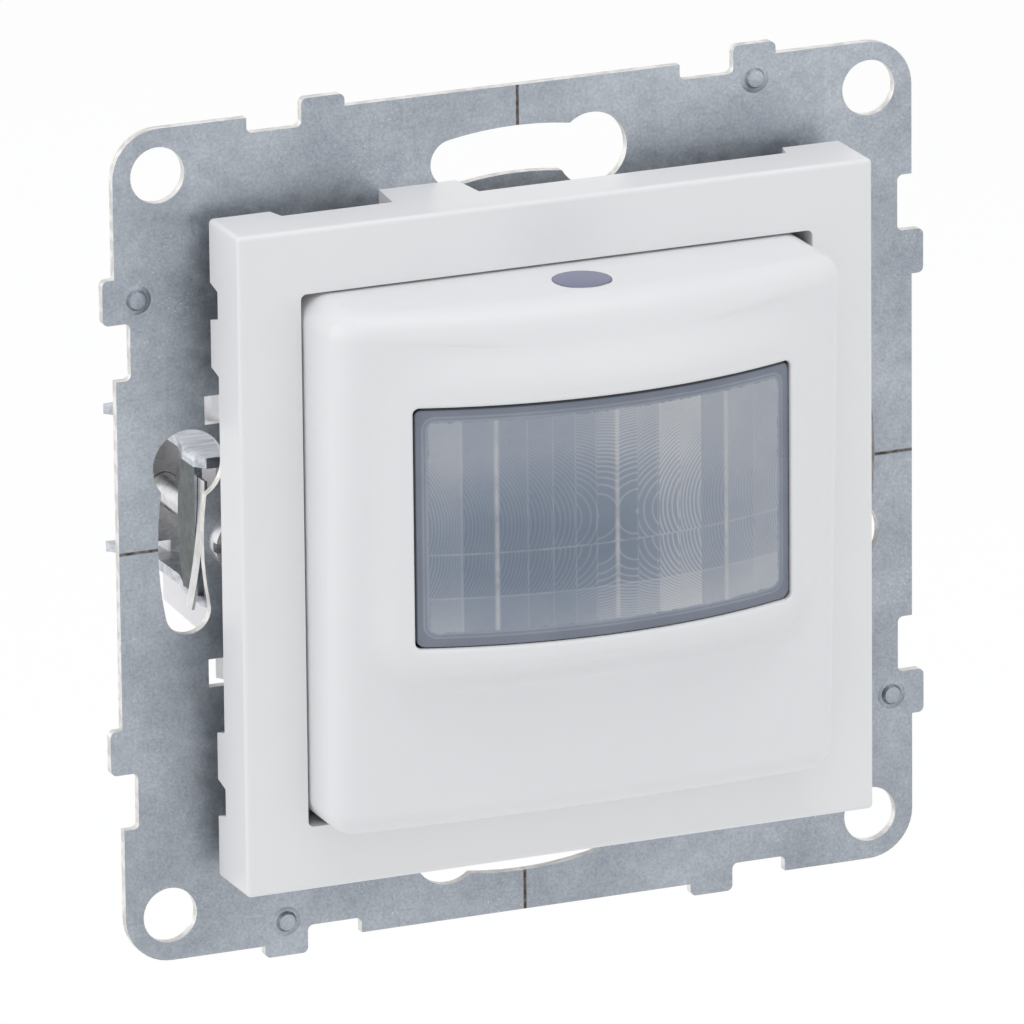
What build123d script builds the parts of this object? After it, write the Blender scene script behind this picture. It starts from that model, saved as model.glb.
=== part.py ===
from build123d import *
import math
import os

# Flush motion sensor light switch: a stamped mounting plate with spreading
# claws, a square bezel, a lift-off sensor head with a curved lens, and the
# electronics in a box behind the plate.
#
# Millimetres. The wall face of the plate lies in the plane Y = 0, the front
# faces -Y and +Z is up. "Height" means the distance in front of the wall face,
# so a negative height is inside the wall box.

# Driving sizes

# Opening, bezel and plate: each is set out from the one inside it
opening_size = 45.2          # square opening in the bezel
bezel_band = 5.4             # width of the bezel round its opening
plate_border = 7.4           # how far the plate stands out beyond the bezel

# Mounting plate
plate_t = 0.8
plate_corner_r = 4.0
tab_reach = 1.05             # how far a tab stands out of its side
tab_width = 3.8
notch_depth = 1.3            # takes the tab of the next plate
notch_width = 4.8
tab_step_near = 16.5         # from the corner to where a tab turns into a notch
tab_step_far = 16.05         # the same on the other half of each side
tab_r = 0.5
slot_clearance = 2.0         # puts the box screws 30 mm from the middle
slot_width = 4.0
slot_end_angle = 10.8
slot_head_angle = 12.9
slot_head_r = 3.1
corner_hole_inset = 3.9      # puts the corner holes on a 63 mm square
corner_hole_r = 2.35
pip_inset = 1.9              # stacking pips, from the side of the plate
pip_r = 0.9
pip_rise = 0.3
pip_taper = 35

# Bezel
bezel_front = 9.3            # height of its front face
bezel_face_t = 1.8
bezel_wall = 1.6
bezel_recess_height = 4.7    # where most of the side wall ends
bezel_tooth_height = 3.1     # where the teeth that take the outer frame end
bezel_tooth_ramp = 0.4
bezel_corner_tooth = 5.3
bezel_side_tooth = 4.0
bezel_side_tooth_inset = 10.45
bezel_foot_width = 6.8       # the two feet that stand on the plate
bezel_foot_place = 8.8
bezel_edge_r = 0.4
opening_r = 0.5
collar_t = 1.2
collar_height = 3.2          # height where the collar round the opening ends
hook_share = 0.4             # place of the snap hooks, of half the bezel
hook_width = 2.0
hook_t = 1.0
hook_inset = 1.9             # from the outside of the bezel to the hook
hook_reach = 1.6             # how far a hook goes behind the wall face
hook_barb = 0.4
hook_gap = 0.2
hook_window_width = 2.9
hook_window_inset = 0.25     # from the outside of the bezel to its windows

# Sensor head
head_gap = 0.2               # all round, in the bezel's opening
head_wall = 1.5
head_corner_r = 2.3
head_roll_r = 2.1            # soft edge between the sides and the front
head_top_crown = 18.3        # front surface: top edge, on the middle line
head_top_side = 15.2
head_low_crown = 15.6        # front surface: bottom edge
head_low_side = 14.7
panel_base = 14.4            # plane in which the raised panel is measured
panel_inset = 2.9            # from the side of the head to the side of the panel
panel_over = 5.35            # from the lens to the upper edge of the panel
panel_under = 4.85
panel_r = 4.4
panel_taper = 28
panel_root = 13.2            # height from which the panel's walls rise inside
panel_edge_r = 1.0
panel_foot_r = 1.2

# Lens
lens_side_inset = 5.9        # from the side of the head to the lens
lens_top_inset = 7.85
lens_height = 20.1
lens_r = 0.8
lens_radius = 45.0           # bow of the lens, about an upright axis
lens_crown = 21.0            # height of the lens on the middle line
lens_sunk = 0.4              # below the panel round it
lens_t = 1.0
lens_flange_t = 0.8
lens_flange = 0.9            # how far the flange stands out all round
lens_gap = 0.1
panel_t = 1.3
lens_frame_t = 1.0
clamp_t = 1.2
clamp_rim = 1.6

# Light guide of the indicator and the twilight sensor
eye_r = 2.45
eye_set_back = 2.05          # of its middle behind the roll of the upper edge
guide_leg_r = 1.5
guide_reach = 6.2            # down from the top of the head
guide_gap = 0.6              # over the parts on the board
guide_clearance = 0.05

# Carrier, the front half of the electronics box
carrier_t = 1.2
carrier_side_inset = 0.5     # from the side of the head
carrier_overhang = 3.5       # beyond the head, above and below
carrier_rim = 1.0
carrier_rim_height = 2.5
carrier_spigot = 2.0
carrier_spigot_wall = 1.2
carrier_gap = 0.2            # to the inside of the housing
carrier_rim_gap = 0.2        # between the rim and the sensor head
boss_r = 2.2
boss_rise = 1.2
boss_inset = 4.1             # from the sides of the sensor board

# Sensor board
board_t = 1.6
board_chamfer = 3.0
board_gap = 0.6
pir_base_r = 4.6
pir_base_t = 0.4
pir_can_r = 4.1
pir_can_height = 4.2
pir_edge_r = 0.5
pir_window_width = 4.0
pir_window_height = 3.2
pir_window_t = 0.4
led_width = 1.2
led_height = 1.6
led_t = 0.6
led_place = 0.85
chip_width = 6.0
chip_height = 5.0
chip_t = 1.5
chip_inset = 3.0             # from the left side of the board
chip_up = 6.0
trimmer_size = 6.6
trimmer_t = 3.2
trimmer_side_inset = 8.1     # from the side of the board to the last one
trimmer_inset = 6.5          # from the lower edge of the board
trimmer_rotor_r = 2.5
trimmer_rotor_rise = 0.6
trimmer_well = 2.0
trimmer_fit = 0.1
trimmer_slot_width = 0.7
trimmer_slot_depth = 0.8
trimmer_slot_length = 4.0
header_pins_count = 6
header_pitch = 2.54
header_inset = 5.7           # from the upper edge of the board
header_width = 2.5
header_pin_r = 0.3
header_fit = 0.05
header_gap = 0.4

# Housing, the rear half of the electronics box
housing_side_margin = 0.6    # inside the outline of the bezel's opening
housing_top_margin = 4.0
housing_depth = 24.4
housing_wall = 1.5
housing_chamfer = 6.0
housing_flange_inset = 3.4
housing_flange_t = 1.6
housing_edge_r = 0.8
joining_screw_x = 11.0
joining_screw_out = 1.9      # beyond the head, above and below
joining_screw_r = 0.9
joining_head_r = 1.5
joining_head_t = 0.8
joining_boss_r = 1.6
joining_boss_depth = 3.6
joining_clearance = 0.2
pillar_r = 1.5
pillar_inset = 2.3           # from the inside of the side walls
pillar_z = 11.0

# Power board and what stands on it; gaps are from the walls of the housing
power_board_depth = 3.0      # its front face, behind the wall face
part_gap = 0.8
parts_aside = 5.4            # relay and film capacitor, from the left wall
relay_height = 10.2
relay_can_gap = 3.4
relay_floor_gap = 3.3
film_height = 7.0
film_can_gap = 4.4
film_floor_gap = 4.3
can_r = 5.0
can_aside = 3.2              # from the right wall
can_floor_gap = 2.3
can_groove = 0.4
varistor_r = 4.4
varistor_t = 3.2
fuse_width = 8.0
fuse_depth = 7.5
fuse_height = 3.6
part_edge_r = 0.5

# Terminals
terminal_count = 3
terminal_pitch = 10.0
block_width = 29.6
block_height = 10.0
block_depth = 11.0
block_gap = 0.2
clamp_width = 6.6
clamp_height = 6.5
clamp_depth = 6.6
clamp_gap = 0.1
wire_r = 1.5
wire_hole_r = 1.7
wire_up = 4.1                # bore axis above the lower face of a clamp
terminal_screw_r = 1.4
terminal_head_r = 2.0
terminal_head_t = 1.5
terminal_hole_r = 2.2
terminal_sunk = 0.3
screw_fit = 0.05
screw_slot_width = 0.8
screw_slot_depth = 0.7

# Spreading claws, one on each side; "out" is away from the middle of the plate
claw_screw_out = 2.8         # from the side of the head to the screw
claw_screw_r = 1.3
claw_screw_length = 20.8
claw_screw_head_r = 2.5
claw_screw_head_t = 2.0
claw_screw_hole_r = 1.6
claw_pivot_in = 1.6          # from the screw inwards to the hinge
claw_pivot_depth = 2.6
claw_pin_r = 0.8
claw_half_gap = 5.5          # inside half height between the two arms
claw_t = 0.9
claw_web_gap = 0.25          # from the screw out to the web
claw_web_t = 0.7
claw_web_front = 2.5
claw_web_depth = 4.9
claw_web_bulge = 1.4
claw_bend_r = 0.6
claw_gap = 0.6               # from the housing
claw_front = 1.5
claw_waist_depth = 8.4
claw_waist_in = 0.9          # from the outside of the web
claw_cam_depth = 12.6        # where the inside edge starts to slant outwards
claw_cam_rise = 2.4
claw_arm_depth = 15.0
claw_tip_depth = 19.6
claw_tip_out = 1.2           # from the outside of the web
claw_tip_width = 1.2
ear_gap = 0.3
ear_t = 1.8
ear_margin = 1.2             # from the hinge to the outer edge of its ear
ear_depth = 4.4
ear_front = 0.6
nut_half_width = 1.8
nut_half_height = 4.6
nut_lug_half_height = 6.3    # the lugs press on the slanted edges of the arms
nut_lug_gap = 0.3
nut_t = 3.0
nut_depth = 15.0             # its front face at rest
nut_edge = 0.6
nut_guide_gap = 0.3
nut_guide_half_height = 2.2
nut_guide_margin = 3.0
leaf_t = 0.25
leaf_front = 1.0
leaf_width = 1.4
leaf_top = 4.6
leaf_bottom = 6.2
leaf_inset = 0.55            # of its upper end, from the outside of the web
leaf_bow = 1.3

overrun = 1.0                # how far cutting shapes run past the faces they cut

# Sizes worked out above

bezel_size = opening_size + 2 * bezel_band
bezel_half = bezel_size / 2
plate_size = bezel_size + 2 * plate_border
plate_half = plate_size / 2
plate_front = plate_t
box_screw_radius = bezel_half + slot_clearance
corner_hole_spacing = plate_size - 2 * corner_hole_inset
head_size = opening_size - 2 * head_gap
head_half = head_size / 2
lens_width = head_size - 2 * lens_side_inset
lens_middle = head_half - lens_top_inset - lens_height / 2
panel_width = head_size - 2 * panel_inset
panel_height = lens_height + panel_over + panel_under
panel_middle = lens_middle + (panel_over - panel_under) / 2
panel_radius = lens_radius + lens_sunk
panel_crown = lens_crown + lens_sunk
lens_axis = lens_radius - lens_crown       # depth of the lens axis in the wall
carrier_front = plate_front + carrier_t
board_back = carrier_front + boss_rise
board_front = board_back + board_t
rim_size = head_size - 2 * head_wall - 2 * carrier_rim_gap
board_size = rim_size - 2 * carrier_rim - 2 * board_gap
board_half = board_size / 2
boss_place = board_half - boss_inset
header_up = board_half - header_inset
trimmer_down = board_half - trimmer_inset
trimmer_pitch = board_half - trimmer_side_inset
joining_screw_z = head_half + joining_screw_out
guide_base = board_front + led_t + guide_gap
housing_width = opening_size - 2 * housing_side_margin
housing_height = opening_size - 2 * housing_top_margin
housing_half = housing_width / 2
housing_top = housing_height / 2
inner_half = housing_half - housing_wall
inner_top = housing_top - housing_wall
inner_chamfer = housing_chamfer - housing_wall * math.tan(math.radians(22.5))
power_back = power_board_depth + board_t
claw_screw_place = head_half + claw_screw_out
claw_pivot = claw_screw_place - claw_pivot_in
claw_web_inside = claw_screw_place + claw_screw_r + claw_web_gap
claw_web_outside = claw_web_inside + claw_web_t
claw_inner = housing_half + claw_gap
claw_neck = claw_inner + claw_cam_rise
claw_waist = claw_web_outside - claw_waist_in
claw_tip = claw_web_outside + claw_tip_out
ear_out = claw_pivot + ear_margin
nut_inner = claw_screw_place - nut_half_width
hook_out = bezel_half - hook_inset
hook_place = hook_share * bezel_half


def front(height):
    """Sketch plane that faces the room, this far in front of the wall face."""
    return Plane.XZ.offset(height)


def level(z):
    """Horizontal sketch plane at this height above the middle of the plate."""
    return Plane.XY.offset(z)


def side(x):
    """Upright sketch plane that faces +X, at this distance from the middle."""
    return Plane.YZ.offset(x)


def publish(piece, name):
    piece.part.label = name
    export_step(piece.part, f"parts/{name}.step")


os.makedirs("parts", exist_ok=True)

# Mounting plate

# Each side carries the same two tabs and two notches, so that plates in a row
# lock into one another, and one curved keyhole slot about the middle.
tab_near = plate_half - tab_step_near - tab_width / 2
notch_near = plate_half - tab_step_near + notch_width / 2
tab_far = -(plate_half - tab_step_far + tab_width / 2)
notch_far = -(plate_half - tab_step_far - notch_width / 2)
slot_line = Edge.make_circle(
    box_screw_radius, start_angle=360 - slot_head_angle, end_angle=360 + slot_end_angle
)
slot_head_x = box_screw_radius * math.cos(math.radians(slot_head_angle))
slot_head_y = -box_screw_radius * math.sin(math.radians(slot_head_angle))
hook_window_x = bezel_half - hook_window_inset - hook_window_width / 2

with BuildPart() as mounting_plate:
    with BuildSketch(front(0)) as plate_outline:
        RectangleRounded(plate_size, plate_size, plate_corner_r)
        with PolarLocations(plate_half, 4):
            with Locations((0, tab_near), (0, tab_far)):
                Rectangle(2 * tab_reach, tab_width)
            with Locations((0, notch_near), (0, notch_far)):
                Rectangle(2 * notch_depth, notch_width, mode=Mode.SUBTRACT)
        corners = plate_outline.vertices().filter_by(
            lambda v: max(abs(v.X), abs(v.Y)) > plate_half + tab_reach / 2
            or (
                max(abs(v.X), abs(v.Y)) < plate_half - notch_depth / 2
                and min(abs(v.X), abs(v.Y)) < notch_near + notch_width
            )
        )
        fillet(corners, tab_r)
        with PolarLocations(0, 4):
            SlotArc(slot_line, slot_width, mode=Mode.SUBTRACT)
            with Locations((slot_head_x, slot_head_y)):
                Circle(slot_head_r, mode=Mode.SUBTRACT)
        with GridLocations(corner_hole_spacing, corner_hole_spacing, 2, 2):
            Circle(corner_hole_r, mode=Mode.SUBTRACT)
        with GridLocations(2 * claw_screw_place, 0, 2, 1):
            Circle(claw_screw_hole_r, mode=Mode.SUBTRACT)
        with GridLocations(2 * hook_window_x, 2 * hook_place, 2, 2):
            Rectangle(
                hook_window_width, hook_width + 2 * hook_gap, mode=Mode.SUBTRACT
            )
        with GridLocations(2 * joining_screw_x, 2 * joining_screw_z, 2, 2):
            Circle(joining_screw_r + joining_clearance, mode=Mode.SUBTRACT)
    extrude(amount=plate_t)
    with BuildSketch(front(-overrun)) as cutout:
        Rectangle(2 * inner_half, 2 * inner_top)
        chamfer(cutout.vertices(), inner_chamfer)
    extrude(amount=plate_t + 2 * overrun, mode=Mode.SUBTRACT)
    with BuildSketch(front(plate_front)):
        with PolarLocations(0, 4):
            with Locations((plate_half - pip_inset, tab_far)):
                Circle(pip_r)
    extrude(amount=pip_rise, taper=pip_taper)
publish(mounting_plate, "mounting_plate")

# Bezel


def toothed_wall(teeth):
    """Edge of one side wall, as (place, height) from one end to the other.

    Each tooth is (first place, last place, height it ends at); between teeth
    the wall ends at the recess, and each tooth has slanted flanks.
    """
    half = bezel_half
    outline = [(-half, bezel_front), (-half, bezel_tooth_height)]
    for first, last, height in teeth:
        if first > -half:
            outline.append((first - bezel_tooth_ramp, bezel_recess_height))
            outline.append((first, height))
        if last < half:
            outline.append((last, height))
            outline.append((last + bezel_tooth_ramp, bezel_recess_height))
    outline.append((half, bezel_tooth_height))
    outline.append((half, bezel_front))
    return outline


def tooth(place, width, height):
    return (place - width / 2, place + width / 2, height)


left_corner = (-bezel_half, bezel_corner_tooth - bezel_half, bezel_tooth_height)
right_corner = (bezel_half - bezel_corner_tooth, bezel_half, bezel_tooth_height)
upright_teeth = [
    left_corner,
    tooth(bezel_side_tooth_inset - bezel_half, bezel_side_tooth, bezel_tooth_height),
    tooth(bezel_half - bezel_side_tooth_inset, bezel_side_tooth, bezel_tooth_height),
    right_corner,
]
upper_teeth = [
    left_corner,
    tooth(-bezel_foot_place, bezel_foot_width, plate_front),
    right_corner,
]
lower_teeth = [
    left_corner,
    tooth(bezel_foot_place, bezel_foot_width, plate_front),
    right_corner,
]

hook_root = bezel_front - bezel_face_t / 2

with BuildPart() as bezel:
    for x in (-bezel_half, bezel_half - bezel_wall):
        with BuildSketch(side(x)):
            with BuildLine():
                Polyline(*[(-h, z) for z, h in toothed_wall(upright_teeth)], close=True)
            make_face()
        extrude(amount=bezel_wall)
    for z, teeth in (
        (bezel_half - bezel_wall, upper_teeth),
        (-bezel_half, lower_teeth),
    ):
        with BuildSketch(level(z)):
            with BuildLine():
                Polyline(*[(x, -h) for x, h in toothed_wall(teeth)], close=True)
            make_face()
        extrude(amount=bezel_wall)
    with BuildSketch(front(bezel_front - bezel_face_t)):
        Rectangle(bezel_size, bezel_size)
    extrude(amount=bezel_face_t)
    front_edges = bezel.faces().sort_by(Axis.Y)[0].outer_wire().edges()
    upright_edges = (
        bezel.edges()
        .filter_by(Axis.Y)
        .filter_by(lambda e: abs(abs(e.center().X) - bezel_half) < bezel_edge_r)
        .filter_by(lambda e: abs(abs(e.center().Z) - bezel_half) < bezel_edge_r)
    )
    fillet(front_edges + upright_edges, bezel_edge_r)
    with BuildSketch(front(collar_height)):
        outer = opening_size + 2 * collar_t
        RectangleRounded(outer, outer, opening_r + collar_t)
    extrude(amount=bezel_front - bezel_face_t - collar_height)
    with BuildSketch(front(bezel_front + overrun)):
        RectangleRounded(opening_size, opening_size, opening_r)
    extrude(amount=-(bezel_front + 2 * overrun), mode=Mode.SUBTRACT)
    for facing in (-1, 1):
        for place in (-hook_place, hook_place):
            with BuildSketch(level(place - hook_width / 2)):
                with BuildLine():
                    Polyline(
                        (facing * (hook_out - hook_t), -hook_root),
                        (facing * (hook_out - hook_t), hook_reach),
                        (facing * hook_out, hook_reach),
                        (facing * (hook_out + hook_barb), hook_reach / 2),
                        (facing * hook_out, hook_gap),
                        (facing * hook_out, -hook_root),
                        close=True,
                    )
                make_face()
            extrude(amount=hook_width)
publish(bezel, "bezel")

# Sensor head

# The head is a block whose front bows more at the top than at the bottom, with
# soft edges all round, and a raised panel whose face follows the bow of the lens.


def head_block(inset):
    """The block of the head; with an inset, the hollow inside its walls."""
    half = head_half - inset
    with BuildPart() as block:
        for z, crown, edge in (
            (-half, head_low_crown - inset, head_low_side - inset),
            (half, head_top_crown - inset, head_top_side - inset),
        ):
            with BuildSketch(level(z)):
                with BuildLine():
                    Polyline(
                        (half, -edge),
                        (half, -carrier_front),
                        (-half, -carrier_front),
                        (-half, -edge),
                    )
                    ThreePointArc((-half, -edge), (0, -crown), (half, -edge))
                make_face()
        loft(ruled=True)
        fillet(block.edges().filter_by(Axis.Y), head_corner_r - inset)
        if inset == 0:
            rim = block.faces().sort_by(Axis.Y)[0].outer_wire().edges()
            fillet(rim, head_roll_r)
    return block


def panel_block(inset):
    """The raised panel down to its root; with an inset, its hollow."""
    width = panel_width - 2 * inset
    height = panel_height - 2 * inset
    with BuildPart() as block:
        with BuildSketch(front(panel_base)):
            with Locations((0, panel_middle)):
                RectangleRounded(width, height, panel_r - inset)
        extrude(amount=panel_crown - panel_base, taper=panel_taper)
        with BuildSketch(level(-head_half)):
            with Locations((0, lens_axis)):
                Circle(panel_radius - inset)
        extrude(amount=head_size, mode=Mode.INTERSECT)
        if inset == 0:
            fillet(block.faces().sort_by(Axis.Y)[0].outer_wire().edges(), panel_edge_r)
        with BuildSketch(front(panel_base)):
            with Locations((0, panel_middle)):
                RectangleRounded(width, height, panel_r - inset)
        extrude(amount=-(panel_base - panel_root + inset))
    return block


def bowed_plate(width, height, corner, outer_radius, inner_radius):
    """Curved plate about the lens axis, centred on the lens."""
    with BuildPart() as plate:
        with BuildSketch(front(panel_root - overrun)):
            with Locations((0, lens_middle)):
                RectangleRounded(width, height, corner)
        extrude(amount=panel_crown)
        with BuildSketch(level(-head_half)):
            with Locations((0, lens_axis)):
                Circle(outer_radius)
        extrude(amount=head_size, mode=Mode.INTERSECT)
        if inner_radius > 0:
            with BuildSketch(level(-head_half)):
                with Locations((0, lens_axis)):
                    Circle(inner_radius)
            extrude(amount=head_size, mode=Mode.SUBTRACT)
    return plate


pocket_radius = panel_radius - panel_t
flange_width = lens_width + 2 * lens_flange
flange_height = lens_height + 2 * lens_flange
lens_pocket = bowed_plate(
    flange_width + 2 * lens_gap,
    flange_height + 2 * lens_gap,
    lens_r + lens_flange,
    pocket_radius,
    0,
)
lens_window = bowed_plate(
    lens_width + 2 * lens_gap,
    lens_height + 2 * lens_gap,
    lens_r + lens_gap,
    panel_radius + overrun,
    0,
)

lens_frame = bowed_plate(
    flange_width + 2 * lens_gap + 2 * lens_frame_t,
    flange_height + 2 * lens_gap + 2 * lens_frame_t,
    lens_r + lens_flange,
    pocket_radius + lens_gap,
    0,
)

# The eye is a round rod that looks up through the top of the head, just behind
# its rolled edge, and a straight leg carries its light to and from the board.
eye_depth = head_top_crown - head_roll_r - eye_set_back
leg_up = head_half - guide_reach + guide_leg_r


def guide_form(spread):
    """The light guide, longer than its place, or its hole with a spread."""
    with BuildPart() as form:
        with BuildSketch(level(head_half - guide_reach - spread)):
            with Locations((0, -eye_depth)):
                Circle(eye_r + spread)
        extrude(amount=guide_reach + spread + overrun)
        with BuildSketch(front(guide_base)):
            with Locations((0, leg_up)):
                Circle(guide_leg_r + spread)
        extrude(amount=eye_depth - guide_base)
    return form


head_solid = head_block(0)
head_hollow = head_block(head_wall)
panel_solid = panel_block(0)
panel_hollow = panel_block(panel_t)
guide_hole = guide_form(guide_clearance)
guide_core = guide_form(0)

with BuildPart() as head_form:
    add(head_solid.part)
    add(panel_solid.part)
    fillet(head_form.edges(Select.NEW), panel_foot_r)

with BuildPart() as sensor_head:
    add(head_form.part)
    add(head_hollow.part, mode=Mode.SUBTRACT)
    add(panel_hollow.part, mode=Mode.SUBTRACT)
    add(lens_frame.part)
    add(lens_pocket.part, mode=Mode.SUBTRACT)
    add(lens_window.part, mode=Mode.SUBTRACT)
    add(guide_hole.part, mode=Mode.SUBTRACT)
publish(sensor_head, "sensor_head")

flange_front = pocket_radius - lens_gap
lens_body = bowed_plate(
    lens_width, lens_height, lens_r, lens_radius, lens_radius - lens_t
)
lens_rim = bowed_plate(
    flange_width,
    flange_height,
    lens_r + lens_flange,
    flange_front,
    flange_front - lens_flange_t,
)
with BuildPart() as fresnel_lens:
    add(lens_body.part)
    add(lens_rim.part)
publish(fresnel_lens, "fresnel_lens")

clamp_front = flange_front - lens_flange_t - lens_gap
clamp_plate = bowed_plate(
    flange_width, flange_height, lens_r + lens_flange, clamp_front, clamp_front - clamp_t
)
clamp_opening = bowed_plate(
    flange_width - 2 * clamp_rim,
    flange_height - 2 * clamp_rim,
    lens_r,
    lens_radius,
    0,
)
with BuildPart() as lens_clamp:
    add(clamp_plate.part)
    add(clamp_opening.part, mode=Mode.SUBTRACT)
publish(lens_clamp, "lens_clamp")

with BuildPart() as light_guide:
    add(guide_core.part)
    add(head_form.part, mode=Mode.INTERSECT)
publish(light_guide, "light_guide")

# Carrier

header_length = header_pins_count * header_pitch
header_slot_length = header_length + 2 * header_gap
header_slot_width = header_width + 2 * header_gap

with BuildPart() as carrier:
    with BuildSketch(front(plate_front)):
        Rectangle(
            head_size - 2 * carrier_side_inset, head_size + 2 * carrier_overhang
        )
    extrude(amount=carrier_t)
    with BuildSketch(front(plate_front)) as spigot_outline:
        Rectangle(2 * (inner_half - carrier_gap), 2 * (inner_top - carrier_gap))
        chamfer(spigot_outline.vertices(), inner_chamfer)
        offset(amount=-carrier_spigot_wall, mode=Mode.SUBTRACT)
    extrude(amount=-carrier_spigot)
    with BuildSketch(front(carrier_front)):
        RectangleRounded(rim_size, rim_size, head_corner_r - head_wall)
        inner = rim_size - 2 * carrier_rim
        Rectangle(inner, inner, mode=Mode.SUBTRACT)
    extrude(amount=carrier_rim_height)
    with BuildSketch(front(carrier_front)):
        with GridLocations(2 * boss_place, 2 * boss_place, 2, 2):
            Circle(boss_r)
    extrude(amount=boss_rise)
    with BuildSketch(front(carrier_front + overrun)):
        with Locations((0, header_up)):
            Rectangle(header_slot_length, header_slot_width)
        with GridLocations(2 * joining_screw_x, 2 * joining_screw_z, 2, 2):
            Circle(joining_screw_r + joining_clearance)
    extrude(amount=-(carrier_t + carrier_spigot + 2 * overrun), mode=Mode.SUBTRACT)
publish(carrier, "carrier")

# Sensor board and parts


def board_shape(size, chamfered):
    Rectangle(size, size)
    chamfer(chamfered.vertices(), board_chamfer)


with BuildPart() as sensor_board:
    with BuildSketch(front(board_back)) as board_sketch:
        board_shape(board_size, board_sketch)
        with Locations((0, header_up)):
            with GridLocations(header_pitch, 0, header_pins_count, 1):
                Circle(header_pin_r + header_fit, mode=Mode.SUBTRACT)
    extrude(amount=board_t)
publish(sensor_board, "sensor_board")

can_front = board_front + pir_base_t + pir_can_height
with BuildPart() as pir_detector:
    with BuildSketch(front(board_front)):
        with Locations((0, lens_middle)):
            Circle(pir_base_r)
    extrude(amount=pir_base_t)
    with BuildSketch(front(board_front + pir_base_t)):
        with Locations((0, lens_middle)):
            Circle(pir_can_r)
    extrude(amount=pir_can_height)
    fillet(pir_detector.faces().sort_by(Axis.Y)[0].edges(), pir_edge_r)
    with BuildSketch(front(can_front)):
        with Locations((0, lens_middle)):
            Rectangle(pir_window_width, pir_window_height)
    extrude(amount=-pir_window_t, mode=Mode.SUBTRACT)
publish(pir_detector, "pir_detector")

with BuildPart() as pir_window:
    with BuildSketch(front(can_front)):
        with Locations((0, lens_middle)):
            Rectangle(pir_window_width, pir_window_height)
    extrude(amount=-pir_window_t)
publish(pir_window, "pir_window")

for name, place in (("indicator_led", -led_place), ("twilight_sensor", led_place)):
    with BuildPart() as small_part:
        with BuildSketch(front(board_front)):
            with Locations((place, leg_up)):
                Rectangle(led_width, led_height)
        extrude(amount=led_t)
    publish(small_part, name)

with BuildPart() as control_chip:
    with BuildSketch(front(board_front)):
        with Locations((chip_inset + chip_width / 2 - board_half, chip_up)):
            Rectangle(chip_width, chip_height)
    extrude(amount=chip_t)
publish(control_chip, "control_chip")

trimmer_floor = board_front + trimmer_t - trimmer_well
with BuildPart() as trimmer_bodies:
    with BuildSketch(front(board_front)):
        with Locations((0, -trimmer_down)):
            with GridLocations(trimmer_pitch, 0, 3, 1):
                Rectangle(trimmer_size, trimmer_size)
    extrude(amount=trimmer_t)
    with BuildSketch(front(trimmer_floor)):
        with Locations((0, -trimmer_down)):
            with GridLocations(trimmer_pitch, 0, 3, 1):
                Circle(trimmer_rotor_r + trimmer_fit)
    extrude(amount=trimmer_well, mode=Mode.SUBTRACT)
publish(trimmer_bodies, "trimmer_bodies")

rotor_front = trimmer_floor + trimmer_well + trimmer_rotor_rise
for name, place in (
    ("time_trimmer", -trimmer_pitch),
    ("light_trimmer", 0),
    ("range_trimmer", trimmer_pitch),
):
    with BuildPart() as rotor:
        with BuildSketch(front(trimmer_floor)):
            with Locations((place, -trimmer_down)):
                Circle(trimmer_rotor_r)
        extrude(amount=trimmer_well + trimmer_rotor_rise)
        with BuildSketch(front(rotor_front)):
            with Locations((place, -trimmer_down)):
                Rectangle(trimmer_slot_width, trimmer_slot_length)
                Rectangle(trimmer_slot_length, trimmer_slot_width)
        extrude(amount=-trimmer_slot_depth, mode=Mode.SUBTRACT)
    publish(rotor, name)

with BuildPart() as board_header:
    with BuildSketch(front(-power_board_depth)):
        with Locations((0, header_up)):
            Rectangle(header_length, header_width)
            with GridLocations(header_pitch, 0, header_pins_count, 1):
                Circle(header_pin_r + header_fit, mode=Mode.SUBTRACT)
    extrude(amount=power_board_depth + board_back)
publish(board_header, "board_header")

with BuildPart() as header_pins:
    with BuildSketch(front(-power_back)):
        with Locations((0, header_up)):
            with GridLocations(header_pitch, 0, header_pins_count, 1):
                Circle(header_pin_r)
    extrude(amount=power_back + board_front)
publish(header_pins, "header_pins")

# Housing

housing_floor = housing_depth - housing_wall
block_top = block_height - housing_top
block_front = housing_depth - block_depth
ear_outer = claw_half_gap - ear_gap
nut_back = nut_depth + nut_t

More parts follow.
